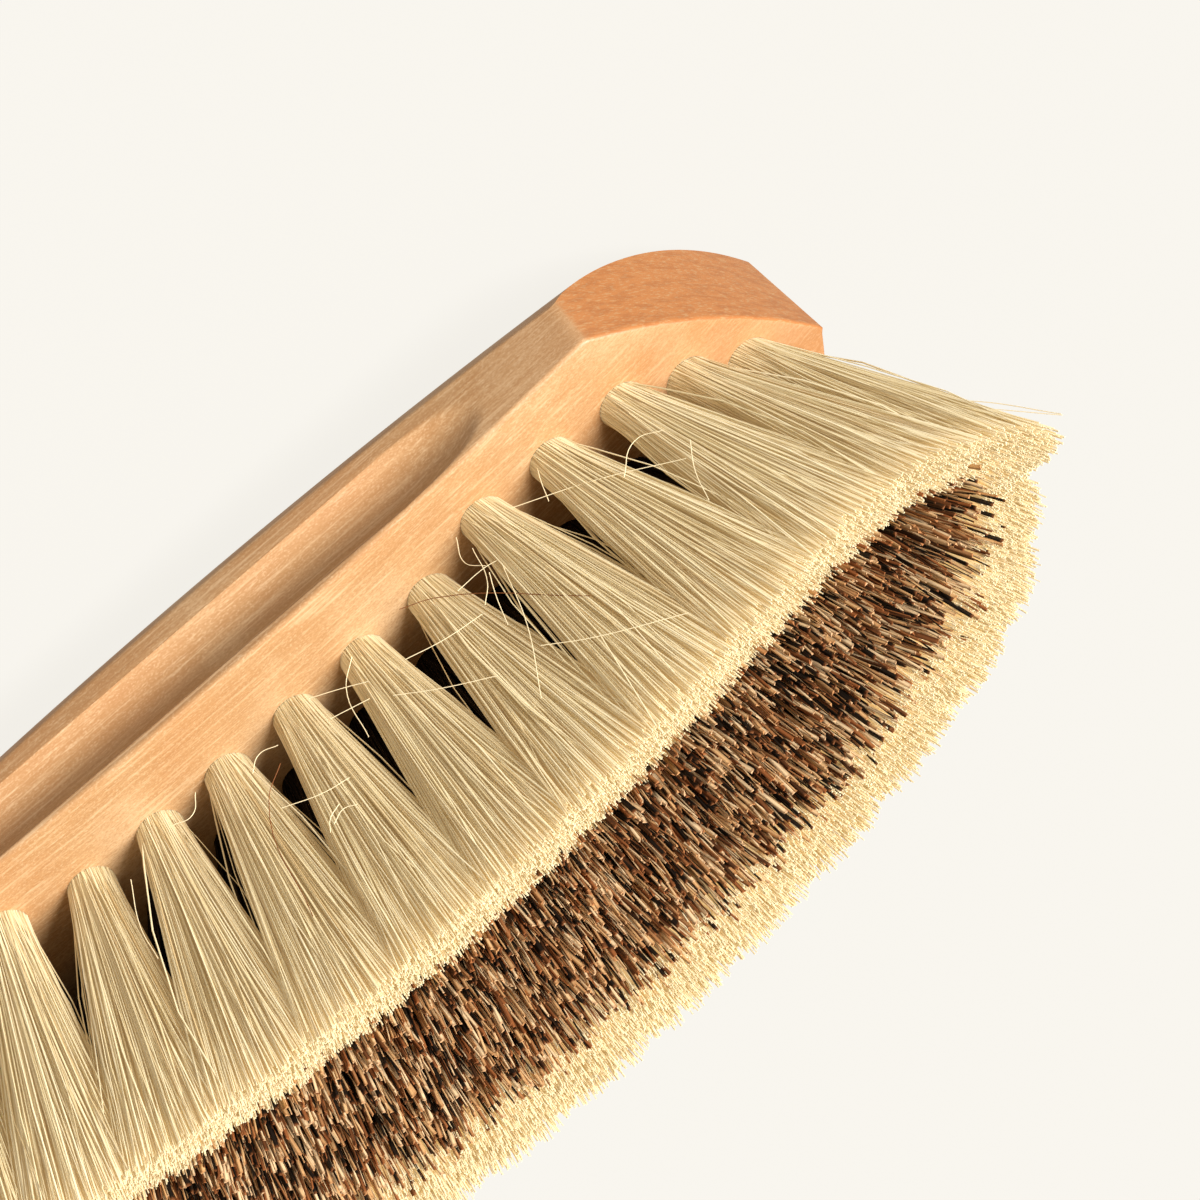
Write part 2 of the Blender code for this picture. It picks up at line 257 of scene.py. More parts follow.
class FillingSizes(bpy.types.PropertyGroup):
    """Sizes of the holes and of the field of cut tips."""

    hole_diameter: length_property("Hole diameter", "Width of a drilled tuft hole", 7 * MM)
    hole_depth: length_property("Hole depth", "Depth of a drilled tuft hole", 11 * MM)
    hole_clearance: length_property("Hole clearance", "Room under a tuft in its hole", 0.3 * MM)
    trim: length_property("Trim", "Bristle length at the middle", 51.7 * MM)
    trim_bow: length_property("Trim bow", "Fall of the tips from the middle to each end", 18.3 * MM)
    overhang: length_property("Overhang", "How far the field of tips reaches past each prow", 12.5 * MM)
    inset: length_property("Inset", "How far the field of tips stands in from each side", 7.8 * MM)
    end_flare: length_property("End flare", "How much further the longer end tuft reaches", 3.6 * MM)
    end_recess: length_property("End recess", "How much less far the shorter end tuft reaches", 3.2 * MM)
    end_lift: length_property("End lift", "How much higher the longer end tuft stands", 6 * MM)
    border_band: length_property("Border band", "Width of the cream band of tips", 7.2 * MM)
    centre_spacing: length_property("Centre spacing", "Between the two rows of brown tufts", 11.4 * MM)
    nose_sharpness: number_property("Nose sharpness", "Power of the rounded ends of the field of tips", 8)
    nose_share: number_property(
        "Nose share", "Where the last tufts end, as a share of the band's half length", 0.985)
    centre_reach: number_property(
        "Centre reach", "Where the brown tips end, as a share of their field's half length", 0.95)


class FibreSizes(bpy.types.PropertyGroup):
    """Size and spread of one kind of fibre."""

    count: IntProperty(name="Count", description="Fibres in a tuft, about", default=1280, min=1)
    thickness: length_property("Thickness", "Mean thickness of a fibre", 0.24 * MM)
    thickness_spread: number_property("Thickness spread", "How much fibres differ in thickness", 0.4)
    flatness: number_property("Flatness", "Thickness of a fibre as a share of its width", 1)
    bow: length_property("Bow", "How far a fibre strays from straight", 0.8 * MM)
    scatter: length_property("Scatter", "How far a tip strays sideways", 0.65 * MM)
    short_by: length_property("Short by", "How much shorter a fibre may be", 1.5 * MM)
    raggedness: number_property("Raggedness", "How much more uneven in length the outer fibres are", 0.2)
    long_by: length_property("Long by", "How much longer a fibre may be", 0.25 * MM)
    stray_share: number_property("Stray share", "Share of fibres that stray far", 0.03)
    stray_reach: number_property("Stray reach", "How many times further a stray fibre bows out", 3)
    spread: number_property("Spread", "How far the tips reach past their own stretch of the field", 1.16)
    splay: number_property("Splay", "How far the tips reach across, past their own stretch", 1.25)
    inward: number_property("Inward", "How far the tips are drawn in, as a share of half the band", 0.35)
    clumping: number_property("Clumping", "How far a fibre takes the tone of its neighbours", 0.45)
    clump_size: length_property("Clump size", "Width of a clump of like tone", 1.7 * MM)
    waist: length_property("Waist", "How far a tuft is drawn in above its hole", 0.8 * MM)
    tip_drop: length_property("Tip drop", "How much lower than the trim the inner tips are cut", 2.3 * MM)
    edge_rise: length_property("Edge rise", "How much the tips rise from the inner to the outer edge", 3 * MM)
    scallop: length_property("Scallop", "How much lower a tuft's corner tips are cut", 1.3 * MM)
    lobe: number_property(
        "Lobe", "How much a tuft's outer corner tips fall back, as a share of its half width", 0.3)
    seed: IntProperty(name="Seed", description="Seed of everything random in a tuft", default=1)


class BrushColours(bpy.types.PropertyGroup):
    """Colours of the wood and the fibres."""

    wood: colour_property("Wood", "Long grain of the stock", (0.51, 0.302, 0.142))
    wood_dark: colour_property("Wood streaks", "Darker streaks of the long grain", (0.40, 0.208, 0.083))
    # Pale grain colour, also used for glints of the varnish painted on the long grain
    pale_grain_and_glint: colour_property("Wood flecks", "Pale flecks of the long grain", (0.66, 0.46, 0.27))
    end_grain: colour_property("End grain", "Wood of the two end faces", (0.475, 0.186, 0.057))
    end_dark: colour_property("End bands", "Darker bands of the two end faces", (0.30, 0.095, 0.025))
    ochre: colour_property("Ochre", "Darkest of the cream fibres", (0.50, 0.345, 0.15))
    cream: colour_property("Cream", "Most of the cream fibres", (0.70, 0.605, 0.37))
    ivory: colour_property("Ivory", "Palest of the cream fibres, and cut cream tips", (0.88, 0.79, 0.55))
    # Painted glow: emission colour of the cream fibres, standing in for light coming through them
    painted_glow: colour_property("Glow", "Light that comes through the cream fibres", (0.30, 0.20, 0.09))
    sand: colour_property("Sand", "Palest of the brown fibres", (0.88, 0.64, 0.37))
    tan: colour_property("Tan", "Light brown fibres", (0.72, 0.43, 0.19))
    russet: colour_property("Russet", "Red brown fibres", (0.32, 0.11, 0.035))
    # Umber is also the painted shade at the roots of the brown fibres
    umber: colour_property("Umber", "Darkest fibres", (0.014, 0.009, 0.006))


class StageSettings(bpy.types.PropertyGroup):
    """Camera, floor and lights."""

    camera_place: FloatVectorProperty(
        name="Camera place", description="Where the camera stands", unit="LENGTH", size=3,
        default=(-0.0928, -0.4634, 0.4463))
    look_at: FloatVectorProperty(
        name="Look at", description="Point at the middle of the picture", unit="LENGTH", size=3,
        default=(-0.0473, 0.0, 0.0351))
    roll: FloatProperty(
        name="Roll", description="Turn of the camera about its line of sight", default=math.radians(143.2),
        subtype="ANGLE")
    lens: number_property("Lens", "Focal length in millimetres", 135)
    floor_colour: colour_property(
        "Floor", "Colour of the floor, which shines by itself", (0.8775, 0.8538, 0.7988))
    floor_shade: colour_property(
        "Floor shade", "Light of the lamps that the floor throws back", (0.03, 0.03, 0.03))
    key_direction: FloatVectorProperty(
        name="Key direction", description="Where the main light comes from", size=3, subtype="DIRECTION",
        default=(-0.525, -0.325, 0.787))
    key_strength: number_property("Key strength", "Strength of the main light", 6.0)
    key_colour: colour_property("Key colour", "Colour of the main light", (1, 0.985, 0.96))
    key_softness: FloatProperty(
        name="Key softness", description="Angle over which the main light spreads", default=math.radians(28),
        subtype="ANGLE")
    sky: number_property("Sky", "Strength of the light from all round", 0.52)
    sky_colour: colour_property("Sky colour", "Colour of the light from all round", (1.0, 0.88, 0.75))


# Shape of the stock

def face_height(stock, x):
    """Height of the bowed tuft face at a place along the stock."""
    return stock.crown - stock.face_bow * (2 * x / stock.length) ** 2


def corner_x(stock):
    """Where the flat sides end."""
    return stock.length / 2 - stock.end_depth


def thickness(stock, x, y):
    """Thickness of the stock under a point of its tuft face."""
    crown = stock.crown - (stock.crown - stock.prow) * (2 * x / stock.length) ** 2
    wall = stock.wall - (stock.wall - stock.corner_wall) * (x / corner_x(stock)) ** 2
    wall = max(wall, crown * stock.wall_floor)
    across = min(abs(2 * y / stock.width), 1)
    return wall + (crown - wall) * (1 - across ** 2) ** stock.dome_roundness


def soft_least(a, b, ease):
    """The lesser of two lengths, rounded where they meet."""
    near = max(ease - abs(a - b), 0) / ease
    return min(a, b) - near * near * ease / 4


def end_arc(stock):
    """Centre and radius of the bowed end face in plan, for the end and side of positive x and y."""
    corner = Vector((corner_x(stock), stock.width / 2))
    prow = Vector((stock.length / 2, 0))
    chord = prow - corner
    radius = (chord.length ** 2 / 4 + stock.end_bulge ** 2) / (2 * stock.end_bulge)
    inward = Vector((chord.y, -chord.x)).normalized()
    return (corner + prow) / 2 + inward * (radius - stock.end_bulge), radius


def half_width(stock, x):
    """Half the width of the stock in plan at a place along it."""
    centre, radius = end_arc(stock)
    along = min(abs(x), stock.length / 2) - centre.x
    arc = centre.y + math.sqrt(max(radius ** 2 - along ** 2, 0))
    return max(soft_least(stock.width / 2, arc, stock.corner_ease), 0)


def groove_cut(stock, x, z):
    """Depth of the finger groove at a point of the flat side."""
    depth = stock.groove_depth
    radius = ((stock.groove_height / 2) ** 2 + depth ** 2) / (2 * depth)
    run_radius = (stock.groove_runout ** 2 + depth ** 2) / (2 * depth)
    past = max(abs(x) - stock.groove_straight / 2, 0)
    off = z - (stock.crown - stock.groove_drop)
    if abs(off) >= radius or past >= run_radius:
        return 0
    lift = run_radius - math.sqrt(run_radius ** 2 - past ** 2)
    cut = depth - lift - radius + math.sqrt(radius ** 2 - off ** 2)
    return -soft_least(-cut, 0, stock.groove_ease)


def wall_heights(stock, top, bottom):
    """Heights of the points down one wall, close together at the groove's edges."""
    middle = stock.crown - stock.groove_drop
    margin = stock.arris / 2
    upper = min(middle + stock.groove_height / 2, top - margin)
    lower = max(middle - stock.groove_height / 2, bottom + margin)
    heights = [top + (upper - top) * i / LAND_POINTS for i in range(LAND_POINTS)]
    for i in range(COVE_POINTS):
        share = (1 - math.cos(math.pi * i / COVE_POINTS)) / 2
        heights.append(upper + (lower - upper) * share)
    heights += [lower + (bottom - lower) * i / LAND_POINTS for i in range(LAND_POINTS)]
    return heights


def half_section(stock, x):
    """Points of one half of the cross section, from the middle of the face round to the crown."""
    width = half_width(stock, x)
    face = face_height(stock, x)
    arris = min(stock.arris, width * (1 - LEAST_FACE_SHARE))
    points = []
    for i in range(FACE_POINTS):
        points.append(((width - arris) * i / FACE_POINTS, face))
    for i in range(ARRIS_POINTS):
        turn = math.pi / 2 * i / ARRIS_POINTS
        points.append((width - arris * (1 - math.sin(turn)), face - arris * (1 - math.cos(turn))))
    bottom = face - thickness(stock, x, width)
    for z in wall_heights(stock, face - arris, bottom):
        points.append((width - groove_cut(stock, x, z), z))
    for i in range(DOME_POINTS + 1):
        y = width * math.cos(math.pi / 2 * i / DOME_POINTS)
        points.append((y, face - thickness(stock, x, y)))
    return points


def stations(stock):
    """Places of the cross sections along the stock, closer together at its ends."""
    corner = corner_x(stock)
    end = [corner + stock.end_depth * i / END_STEPS for i in range(1, END_STEPS + 1)]
    middle = [corner * (2 * i / MIDDLE_STEPS - 1) for i in range(MIDDLE_STEPS + 1)]
    return [-x for x in reversed(end)] + middle + end


def drawn_in(stock, x, z):
    """The place along the stock, moved as the prow leans in towards the back."""
    past_corner = max((abs(x) - corner_x(stock)) / stock.end_depth, 0)
    below_face = face_height(stock, stock.length / 2) - z
    return x - math.copysign(1, x) * stock.prow_lean * past_corner * below_face / stock.prow


def stock_mesh(stock):
    """The stock before it is drilled, as one closed skin over its cross sections."""
    bm = bmesh.new()
    rings = []
    for x in stations(stock):
        half = half_section(stock, x)
        ring = half + [(-y, z) for y, z in reversed(half[1:-1])]
        rings.append([bm.verts.new((drawn_in(stock, x, z), y, z)) for y, z in ring])
    for ring, after in zip(rings, rings[1:]):
        for i in range(len(ring)):
            j = (i + 1) % len(ring)
            bm.faces.new((ring[i], ring[j], after[j], after[i]))
    bmesh.ops.remove_doubles(bm, verts=bm.verts, dist=WELD)
    bmesh.ops.dissolve_degenerate(bm, dist=SLIVER, edges=bm.edges)
    bmesh.ops.recalc_face_normals(bm, faces=bm.faces)
    return mesh_of(bm, "stock_skin")


# Places of the tufts

def half_field(stock, filling):
    """Half the length and half the width of the field of cut tips."""
    return stock.length / 2 + filling.overhang, stock.width / 2 - filling.inset


def trim_height(stock, filling, x):
    """Height of the cut tips at a place along the brush."""
    return stock.crown + filling.trim - filling.trim_bow * (x / half_field(stock, filling)[0]) ** 2


def band_half_size(stock, filling):
    """Half the length and half the width of the middle line of the cream band."""
    half_length, half_breadth = half_field(stock, filling)
    return half_length - filling.border_band / 2, half_breadth - filling.border_band / 2


def quarter_holes(stock):
    """Border holes of one quarter, from the middle to the prow."""
    return [Vector((a * stock.length / 2, b * stock.width / 2)) for a, b in BORDER_HOLE_SHARES]


def border_holes(stock):
    """Border holes all round the stock, clockwise from the middle of the far side."""
    quarter = quarter_holes(stock)
    ring = list(quarter)
    ring += [Vector((p.x, -p.y)) for p in reversed(quarter)]
    ring += [Vector((-p.x, -p.y)) for p in quarter]
    ring += [Vector((-p.x, p.y)) for p in reversed(quarter)]
    return ring


def nose_width(filling, x, half_length, half_breadth):
    """Half the width of a long field with rounded ends at a place along it."""
    return half_breadth * math.sqrt(max(1 - abs(x / half_length) ** filling.nose_sharpness, 0))


def lengthwise_spread(stock, filling):
    """How far the tips fan out along the brush, as a factor of a hole's distance from the middle."""
    return band_half_size(stock, filling)[0] * filling.nose_share / quarter_holes(stock)[-1].x


def border_tip(stock, filling, hole):
    """Middle of a border tuft's cut end, on the middle line of the cream band."""
    x = hole.x * lengthwise_spread(stock, filling)
    return Vector((x, math.copysign(nose_width(filling, x, *band_half_size(stock, filling)), hole.y)))


def outward(start, end):
    """Direction square to the clockwise step from start to end, away from the brush."""
    step = (end - start).normalized()
    return Vector((-step.y, step.x))


def through_three(low, middle, high, u):
    """Smooth value through three values given at -1, 0 and 1."""
    return middle + (high - low) * (u / 2) + (low + high - middle * 2) * (u * u / 2)


def border_cell(filling, index, tips):
    """Where a border tuft's fibres end: a stretch of the band round the brush."""
    before = tips[index - 1]
    tip = tips[index]
    after = tips[(index + 1) % len(tips)]
    half_band = filling.border_band / 2

    def cell(u, v):
        line = through_three((before + tip) / 2, tip, (tip + after) / 2, u)
        square = through_three(outward(before, tip), outward(before, after), outward(tip, after), u)
        return line + square * (v * half_band)

    return cell


def centre_cell(stock, filling, x_range, side_shares):
    """Where a centre tuft's fibres end: a stretch of the field, between two shares of its half width."""
    half_length, half_breadth = band_half_size(stock, filling)
    half_band = filling.border_band / 2

    def cell(u, v):
        x = x_range[0] + (x_range[1] - x_range[0]) * (u + 1) / 2
        share = side_shares[0] + (side_shares[1] - side_shares[0]) * (v + 1) / 2
        return Vector((x, share * nose_width(filling, x, half_length - half_band, half_breadth - half_band)))

    return cell


def row_edges(places, end_edge):
    """Edges between the tips of one centre row, and the row's two ends."""
    middles = [(a + b) / 2 for a, b in zip(places, places[1:])]
    return [-end_edge] + middles + [end_edge]


def border_tufts(stock, filling):
    """Hole and cell of each border tuft."""
    holes = border_holes(stock)
    tips = [border_tip(stock, filling, hole) for hole in holes]
    return [(hole, border_cell(filling, index, tips)) for index, hole in enumerate(holes)]


def centre_tufts(stock, filling):
    """Hole and cell of each centre tuft: two staggered rows and one tuft at each end."""
    xs = [hole.x for hole in quarter_holes(stock)]
    level = xs[:-END_HOLES]
    between = [(a + b) / 2 for a, b in zip(level, xs[1:])]
    near_xs = [-x for x in reversed(between)] + [0] + between
    far_xs = [-x for x in reversed(level)] + level
    end_x = CENTRE_END_HOLE_SHARE * stock.length / 2
    spread = lengthwise_spread(stock, filling)
    end_edge = (near_xs[-1] + end_x) / 2 * spread
    tufts = []
    for side, row in ((-1, near_xs), (1, far_xs)):
        edges = row_edges([x * spread for x in row], end_edge)
        sides = (min(side, 0), max(side, 0))
        for x, x_range in zip(row, zip(edges, edges[1:])):
            hole = Vector((x, side * filling.centre_spacing / 2))
            tufts.append((hole, centre_cell(stock, filling, x_range, sides)))
    nose = (band_half_size(stock, filling)[0] - filling.border_band / 2) * filling.centre_reach
    tufts.append((Vector((end_x, 0)), centre_cell(stock, filling, (end_edge, nose), (-1, 1))))
    tufts.append((Vector((-end_x, 0)), centre_cell(stock, filling, (-nose, -end_edge), (-1, 1))))
    return tufts


def end_share(filling, spot):
    """How far a tip belongs to the longer tuft of its end, from 0 to 1."""
    side = spot.y * math.copysign(1, spot.x) / filling.border_band
    share = min(max(side / END_CHANGE_SHARE + END_MIDDLE_SHARE, 0), 1)
    return share * share * (3 - 2 * share)


def tuft_frame(stock, filling, hole, cell):
    """Frame at a hole's mouth, with Z along the tuft's lean and X along its cell."""
    mouth = hole.to_3d() + UP * face_height(stock, hole.x)
    spot = cell(0, 0)
    axis = (spot.to_3d() + UP * trim_height(stock, filling, spot.x) - mouth).normalized()
    along = (cell(1, 0) - cell(-1, 0)).to_3d()
    along = (along - axis * along.dot(axis)).normalized()
    turn = Matrix((along, axis.cross(along), axis)).transposed()
    return Matrix.Translation(mouth) @ turn.to_4x4()


# Meshes and objects

def link(name, data):
    """Add an object at the origin."""
    thing = bpy.data.objects.new(name, data)
    bpy.context.scene.collection.objects.link(thing)
    return thing


def mesh_of(bm, name):
    """Turn an edit mesh into a mesh, and free it."""
    mesh = bpy.data.meshes.new(name)
    bm.to_mesh(mesh)
    bm.free()
    return mesh


def made_plain(thing, name):
    """Replace a modified object with a plain mesh object of its result."""
    graph = bpy.context.evaluated_depsgraph_get()
    result = thing.evaluated_get(graph)
    mesh = bpy.data.meshes.new_from_object(result, preserve_all_data_layers=True, depsgraph=graph)
    bpy.data.objects.remove(thing)
    mesh.name = name
    return link(name, mesh)


def hand_over(piece, node):
    """Tie a finished piece to the body and the node that it stands for."""
    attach(piece, BODY)
    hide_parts(node)


# Materials

def new_material(name, looks):
    """A material with its node tree, and its Principled shader set to a few constant looks."""
    material = bpy.data.materials.new(name)
    material.use_nodes = True
    tree = material.node_tree
    shader = tree.nodes["Principled BSDF"]
    for socket, value in looks.items():
        shader.inputs[socket].default_value = value
    return material, tree, shader


def feed(tree, socket, value):
    """Link a socket to another one, or set its value."""
    if isinstance(value, bpy.types.NodeSocket):
        tree.links.new(value, socket)
    else:
        socket.default_value = value


def add_node(tree, kind, inputs, **settings):
    """Add a node with its settings, and feed its inputs."""
    node = tree.nodes.new(kind)
    for key, value in settings.items():
        setattr(node, key, value)
    for key, value in inputs.items():
        feed(tree, node.inputs[key], value)
    return node


def math_node(tree, operation, a, b=0.0, clamp=False):
    """Output of one sum."""
    return add_node(tree, "ShaderNodeMath", {0: a, 1: b}, operation=operation, use_clamp=clamp).outputs[0]


def plus(tree, a, b, clamp=False):
    """Output of a + b."""
    return math_node(tree, "ADD", a, b, clamp)


def minus(tree, a, b, clamp=False):
    """Output of a - b."""
    return math_node(tree, "SUBTRACT", a, b, clamp)


def times(tree, a, b, clamp=False):
    """Output of a * b."""
    return math_node(tree, "MULTIPLY", a, b, clamp)


def vector_node(tree, operation, a, b=(0, 0, 0)):
    """Output of one vector sum. SCALE takes a number for its second value."""
    second = "Scale" if operation == "SCALE" else 1
    return add_node(tree, "ShaderNodeVectorMath", {0: a, second: b}, operation=operation).outputs["Vector"]


def mix_colour(tree, factor, a, b):
    """Output of a mix of two colours."""
    a, b = (c if isinstance(c, bpy.types.NodeSocket) else (*c, 1) for c in (a, b))
    return add_node(tree, "ShaderNodeMix", {"Factor": factor, 6: a, 7: b}, data_type="RGBA").outputs[2]


def noise(tree, place, scale, detail, roughness):
    """Noise pattern from 0 to 1, with its repeats in a metre along the three axes."""
    spot = vector_node(tree, "MULTIPLY", place, scale)
    inputs = {"Vector": spot, "Scale": 1, "Detail": detail, "Roughness": roughness}
    return add_node(tree, "ShaderNodeTexNoise", inputs).outputs["Fac"]


def spread_range(tree, value, low, high):
    """A value's stretch from low to high, spread to 0 and 1."""
    inputs = {"Value": value, "From Min": low, "From Max": high}
    return add_node(tree, "ShaderNodeMapRange", inputs, interpolation_type="SMOOTHSTEP").outputs["Result"]


def laid_over(tree, under, over, pattern, low, high, share=1):
    """A colour, with another over it where a pattern goes from low to high, up to a share."""
    return mix_colour(tree, times(tree, spread_range(tree, pattern, low, high), share), under, over)


def part_along(tree, vector):
    """Size of a vector's part along the brush."""
    separate = add_node(tree, "ShaderNodeSeparateXYZ", {0: vector})
    return math_node(tree, "ABSOLUTE", separate.outputs["X"])


def wood_material(colours):
    """Lightly varnished beech: fine streaks along the stock and darker end grain, with pale glints of the
    varnish painted along streaks and grit.
    """
    material, tree, shader = new_material("beech_wood", {"Specular IOR Level": 0.5})
    coords = add_node(tree, "ShaderNodeTexCoord", {}).outputs
    place = coords["Object"]
    streaks = noise(tree, place, STREAKS, 3, 0.65)
    bands = noise(tree, place, BANDS, 3, 0.55)
    flecks = noise(tree, place, FLECKS, 2, 0.5)
    grit = noise(tree, place, GRIT, 2, 0.6)
    clouds = noise(tree, place, CLOUDS, 3, 0.5)
    tone = times(tree, plus(tree, streaks, bands), 0.5)
    grain = laid_over(tree, colours.wood, colours.wood_dark, tone, 0.36, 0.68)
    # Layers of the long grain, two of them partly painted highlights: colour, pattern, where the pattern
    # starts and is full, and strength
    for colour, pattern, low, high, share in (
            (colours.wood_dark, flecks, 0.58, 0.72, 0.45),
            (colours.pale_grain_and_glint, flecks, 0.42, 0.28, 0.6),
            (colours.pale_grain_and_glint, clouds, 0.5, 0.32, 0.45),
            (colours.wood_dark, grit, 0.5, 0.64, 0.55),
            # Pale streaks: grain lines, partly a painted highlight of the varnish
            (colours.pale_grain_and_glint, streaks, 0.46, 0.3, 0.6),
            # Pale grit: fine flecks, partly painted glints of the varnish
            (colours.pale_grain_and_glint, grit, 0.46, 0.32, 0.55),
            (colours.end_grain, part_along(tree, place), 0.05, 0.09, 0.45)):
        grain = laid_over(tree, grain, colour, pattern, low, high, share)
    ticks = noise(tree, place, TICKS, 2, 0.55)
    ripples = noise(tree, place, RIPPLES, 3, 0.6)
    end = laid_over(tree, colours.end_grain, colours.wood, ticks, 0.5, 0.34, 0.7)
    end = laid_over(tree, end, colours.end_dark, ripples, 0.42, 0.66, 0.4)
    wood = laid_over(tree, grain, end, part_along(tree, coords["Normal"]), 0.25, 0.7)
    wood = laid_over(tree, wood, colours.end_grain, clouds, 0.4, 0.75, 0.2)
    height = plus(tree, streaks, flecks)
    bump = add_node(tree, "ShaderNodeBump", {"Distance": 0.1 * MM, "Strength": 0.25, "Height": height})
    feed(tree, shader.inputs["Base Color"], wood)
    feed(tree, shader.inputs["Roughness"], plus(tree, times(tree, streaks, 0.2), 0.32))
    feed(tree, shader.inputs["Normal"], bump.outputs["Normal"])
    return material


def attribute(tree, name):
    """A number that the fibres carry."""
    return add_node(tree, "ShaderNodeAttribute", {}, attribute_name=name).outputs["Fac"]


def colour_steps(tree, factor, stops):
    """Colour read off a row of stops."""
    node = add_node(tree, "ShaderNodeValToRGB", {"Fac": factor})
    ramp = node.color_ramp
    while len(ramp.elements) < len(stops):
        ramp.elements.new(1)
    for element, (place, colour) in zip(ramp.elements, stops):
        element.position = place
        element.color = (*colour, 1)
    return node.outputs["Color"]


def painted_glow_strength(tree, reach):
    """Strength of the painted glow, an emission on the cream fibres in place of light coming through them:
    more near the inner tips and at the outer rim.
    """
    inner = attribute(tree, "inner")
    near_end = times(tree, spread_range(tree, reach, 0.4, 0.85), spread_range(tree, reach, 1.0, 0.94))
    outer = minus(tree, PAINTED_RIM_GLOW, inner, clamp=True)
    rim = times(tree, spread_range(tree, reach, 0.8, 1.0), outer)
    return plus(tree, plus(tree, times(tree, near_end, inner), PAINTED_GLOW), rim)


def cream_material(colours):
    """Stiff cream plant fibre, paler at its cut tips, with a painted glow of emission."""
    material, tree, shader = new_material("cream_bristle", {
        # Painted glow: emission colour in place of light coming through the fibres
        "Emission Color": (*colours.painted_glow, 1),
        "Roughness": 0.5,
        "Sheen Weight": 0.25,
        "Sheen Roughness": 0.5,
        "Sheen Tint": (1, 0.9, 0.65, 1),
        "Specular IOR Level": 0.25,
    })
    reach = attribute(tree, "reach")
    ochre, cream, ivory = (Vector(c) for c in (colours.ochre, colours.cream, colours.ivory))
    body = colour_steps(tree, attribute(tree, "tone"), [
        (0.0, ochre.lerp(cream, 0.2)),
        (0.14, ochre.lerp(cream, 0.65)),
        (0.35, cream),
        (1.0, cream.lerp(ivory, 0.8)),
    ])
    feed(tree, shader.inputs["Base Color"], laid_over(tree, body, ivory, reach, 0.55, 1.0, 0.55))
    # Painted glow: emission strength along each fibre, stronger near the inner tips and the outer rim
    feed(tree, shader.inputs["Emission Strength"], painted_glow_strength(tree, reach))
    return material


def brown_material(colours):
    """Coarse plant fibre in mixed browns, darkened to umber towards each fibre's root as painted shade."""
    material, tree, shader = new_material("brown_bristle", {"Roughness": 0.5, "Specular IOR Level": 0.2})
    reach = attribute(tree, "reach")
    umber, russet = Vector(colours.umber), Vector(colours.russet)
    tan, sand = Vector(colours.tan), Vector(colours.sand)
    body = colour_steps(tree, attribute(tree, "tone"), [
        (0.0, umber),
        (0.24, umber),
        (0.34, umber.lerp(russet, 0.5)),
        (0.46, russet),
        (0.56, russet.lerp(tan, 0.6)),
        (0.7, tan),
        (0.88, sand),
    ])
    body = laid_over(tree, body, russet, reach, 0.985, 1.0, 0.5)
    # Painted shade: each brown fibre darkens to umber towards its root, deep among the tufts
    feed(tree, shader.inputs["Base Color"], laid_over(tree, umber, body, reach, 0.35, 0.85))
    return material


# The fibre tree

def tree_input(tree, name, kind):
    """Add a named input to a Geometry Nodes tree."""
    return tree.interface.new_socket(name, in_out="INPUT", socket_type="NodeSocket" + kind).identifier


def random_node(tree, source, offset, low, high):
    """Random value of each point, a number or a vector as its limits are, with a seed of its own."""
    vector = isinstance(low, tuple)
    start = 0 if vector else 2
    inputs = {start: low, start + 1: high, "Seed": plus(tree, source["Seed"], offset)}
    kind = "FLOAT_VECTOR" if vector else "FLOAT"
    return add_node(tree, "FunctionNodeRandomValue", inputs, data_type=kind).outputs[0 if vector else 1]


def store(tree, geometry, name, value):
    """Keep a field on each point under a name."""
    inputs = {"Geometry": geometry, "Name": name, "Value": value}
    kind = "FLOAT_VECTOR" if value.type == "VECTOR" else "FLOAT"
    node = add_node(tree, "GeometryNodeStoreNamedAttribute", inputs, data_type=kind, domain="POINT")
    return node.outputs[0]


def named(tree, name, kind="FLOAT"):
    """Read a field by its name."""
    node = add_node(tree, "GeometryNodeInputNamedAttribute", {"Name": name}, data_type=kind)
    return node.outputs["Attribute"]


def named_vector(tree, name):
    """Read a field of vectors by its name."""
    return named(tree, name, "FLOAT_VECTOR")


def mix_vector(tree, factor, a, b):
    """Output of a mix of two places."""
    return add_node(tree, "ShaderNodeMix", {"Factor": factor, 4: a, 5: b}, data_type="VECTOR").outputs[1]


def scattered_points(tree, source):
    """Points spread evenly over the patch, one for each fibre."""
    gap = source["Spacing"]
    return add_node(tree, "GeometryNodeDistributePointsOnFaces", {
        "Mesh": source["Geometry"],
        "Distance Min": gap,
        "Density Max": math_node(tree, "DIVIDE", TRIES, times(tree, gap, gap)),
        "Seed": source["Seed"],
    }, distribute_method="POISSON").outputs["Points"]


def fibre_tip(tree, source, position):
    """Where each fibre ends: near its point of the patch, cut uneven and strayed sideways."""
    straight = vector_node(tree, "SUBTRACT", position, named_vector(tree, "mouth"))
    direction = vector_node(tree, "NORMALIZE", straight)
    sideways = random_node(tree, source, 2, (-1, -1, -0.2), (1, 1, 0.2))
    aside = vector_node(tree, "SCALE", sideways, source["Scatter"])
    uneven = math_node(tree, "POWER", random_node(tree, source, 3, 0.0, 1.0), 2.0)
    shorter = times(tree, uneven, plus(tree, source["Short By"], source["Long By"]))
    outer = math_node(tree, "POWER", minus(tree, 1.0, named(tree, "inner")), 2.0)
    ragged = plus(tree, 1.0, times(tree, outer, source["Raggedness"]))
    longer = minus(tree, source["Long By"], times(tree, shorter, ragged))
    along = vector_node(tree, "SCALE", direction, longer)
    return vector_node(tree, "ADD", vector_node(tree, "ADD", position, aside), along)


